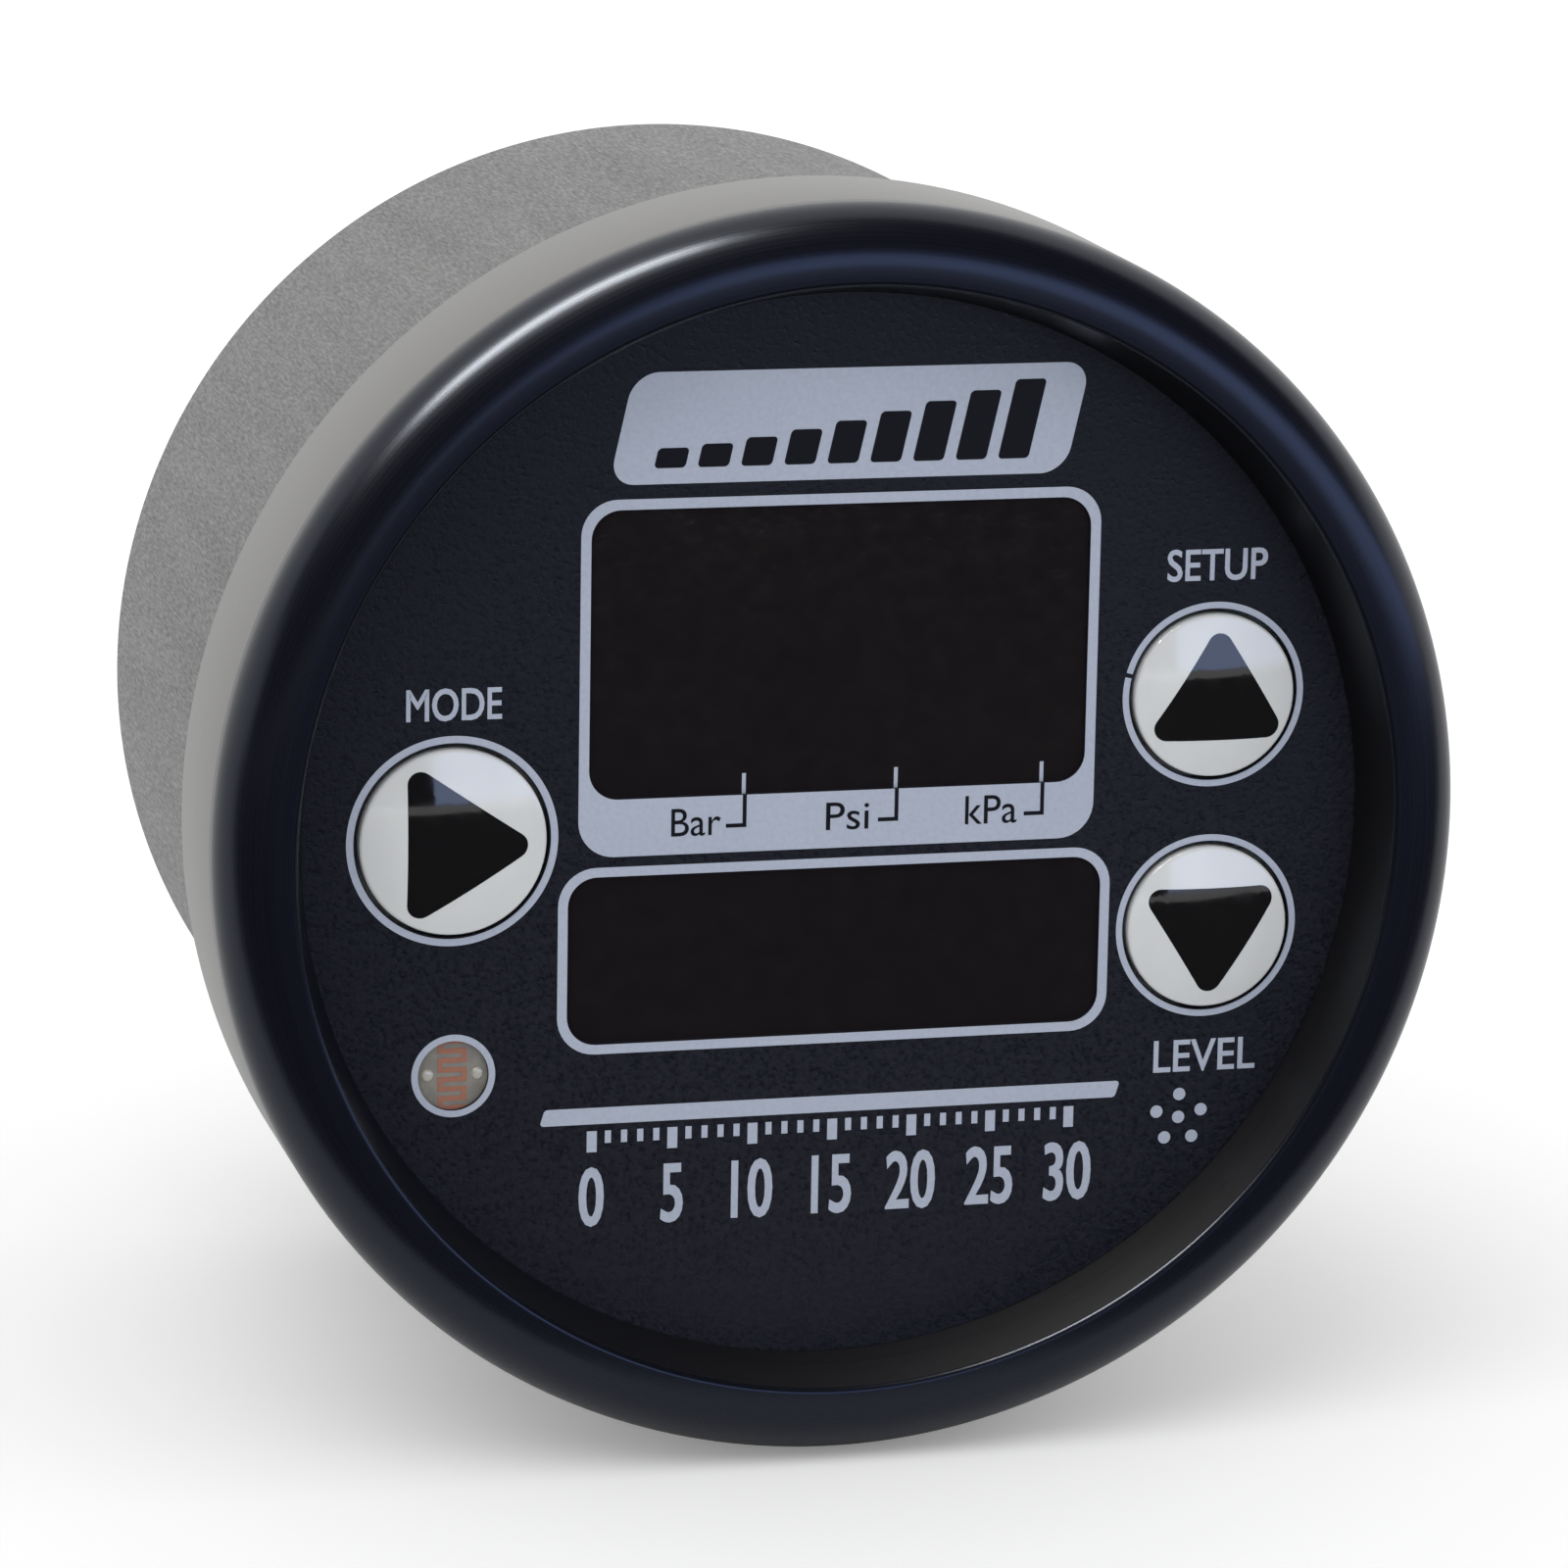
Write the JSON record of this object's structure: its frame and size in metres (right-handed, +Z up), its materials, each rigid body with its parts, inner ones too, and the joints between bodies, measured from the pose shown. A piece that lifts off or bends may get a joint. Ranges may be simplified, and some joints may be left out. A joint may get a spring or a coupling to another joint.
{
  "type": "electronic boost controller",
  "caption": "Round panel-mounted boost controller with a black bezel, dark display windows, press keys, a metal can and a rear plug, pressure port and fixing studs.",
  "frame": {"origin": "centre of the flange ring's rear face, which seats on the panel, on the gauge's axis", "axes": "+Y along the gauge's axis towards the rear, the face looks towards -Y, +Z up the face"},
  "size_m": [0.064, 0.0616, 0.064],
  "materials": {
    "black_anodised": "satin black anodised, lightly polished",
    "turned_aluminium": "smooth turned, satin",
    "blasted_aluminium": "tumbled, fine short scratches",
    "overlay_film": "fine matte texture, light grey print",
    "smoked_acrylic": "deep smoke tint, gloss",
    "gasket_rubber": "matt",
    "key_cap": "gloss white with black arrow",
    "black_plastic": "moulded, fine texture",
    "plunger_plastic": "moulded",
    "spring_steel": "plain rolled",
    "sensor_ceramic": "pale ceramic with orange track under clear resin",
    "display_epoxy": "grey face, pale segments",
    "circuit_board": "green solder mask",
    "zinc_screw": "zinc plated",
    "brass": "turned",
    "connector_plastic": "glass-filled nylon",
    "tinned_pin": "tin plated",
    "silicone_hose": "matt silicone",
    "chip_epoxy": "moulded epoxy",
    "capacitor_sleeve": "shrink sleeve"
  },
  "bodies": {
    "housing": {"bezel_ring": "black_anodised", "flange_ring": "turned_aluminium", "can_tube": "blasted_aluminium", "graphic_overlay": "overlay_film", "smoked_lens": "smoked_acrylic", "lens_gasket": "gasket_rubber", "light_sensor": "sensor_ceramic", "upper_display": "display_epoxy", "lower_display": "display_epoxy", "front_board": "circuit_board", "rear_board": "circuit_board", "buzzer": "black_plastic", "microcontroller": "chip_epoxy", "pin_header": "connector_plastic", "header_socket": "connector_plastic", "front_screws": "zinc_screw", "front_pillars": "brass", "rear_pillars": "brass", "cover_screws": "zinc_screw", "rear_cover": "black_plastic", "cover_gasket": "gasket_rubber", "connector_shell": "connector_plastic", "connector_pins": "tinned_pin", "pressure_sensor": "chip_epoxy", "sensor_hose": "silicone_hose", "hose_barb": "brass", "barb_nut": "brass", "mounting_studs": "zinc_screw", "stud_nuts": "zinc_screw", "filter_capacitor": "capacitor_sleeve", "driver_transistor": "chip_epoxy", "voltage_regulator": "chip_epoxy", "mode_switch": "black_plastic", "mode_snap_dome": "spring_steel", "up_switch": "black_plastic", "up_snap_dome": "spring_steel", "down_switch": "black_plastic", "down_snap_dome": "spring_steel"},
    "mode_key": {"mode_button": "key_cap", "mode_plunger": "plunger_plastic"},
    "up_key": {"up_button": "key_cap", "up_plunger": "plunger_plastic"},
    "down_key": {"down_button": "key_cap", "down_plunger": "plunger_plastic"}
  },
  "joints": [
    {"name": "mode_press", "type": "slide", "parent": "housing", "child": "mode_key", "axis": [0, 1, 0], "range_m": [0, 0.0005], "stiffness_N_per_m": 1200, "springref_m": -0.0005},
    {"name": "up_press", "type": "slide", "parent": "housing", "child": "up_key", "axis": [0, 1, 0], "range_m": [0, 0.0005], "stiffness_N_per_m": 1200, "springref_m": -0.0005},
    {"name": "down_press", "type": "slide", "parent": "housing", "child": "down_key", "axis": [0, 1, 0], "range_m": [0, 0.0005], "stiffness_N_per_m": 1200, "springref_m": -0.0005}
  ]
}
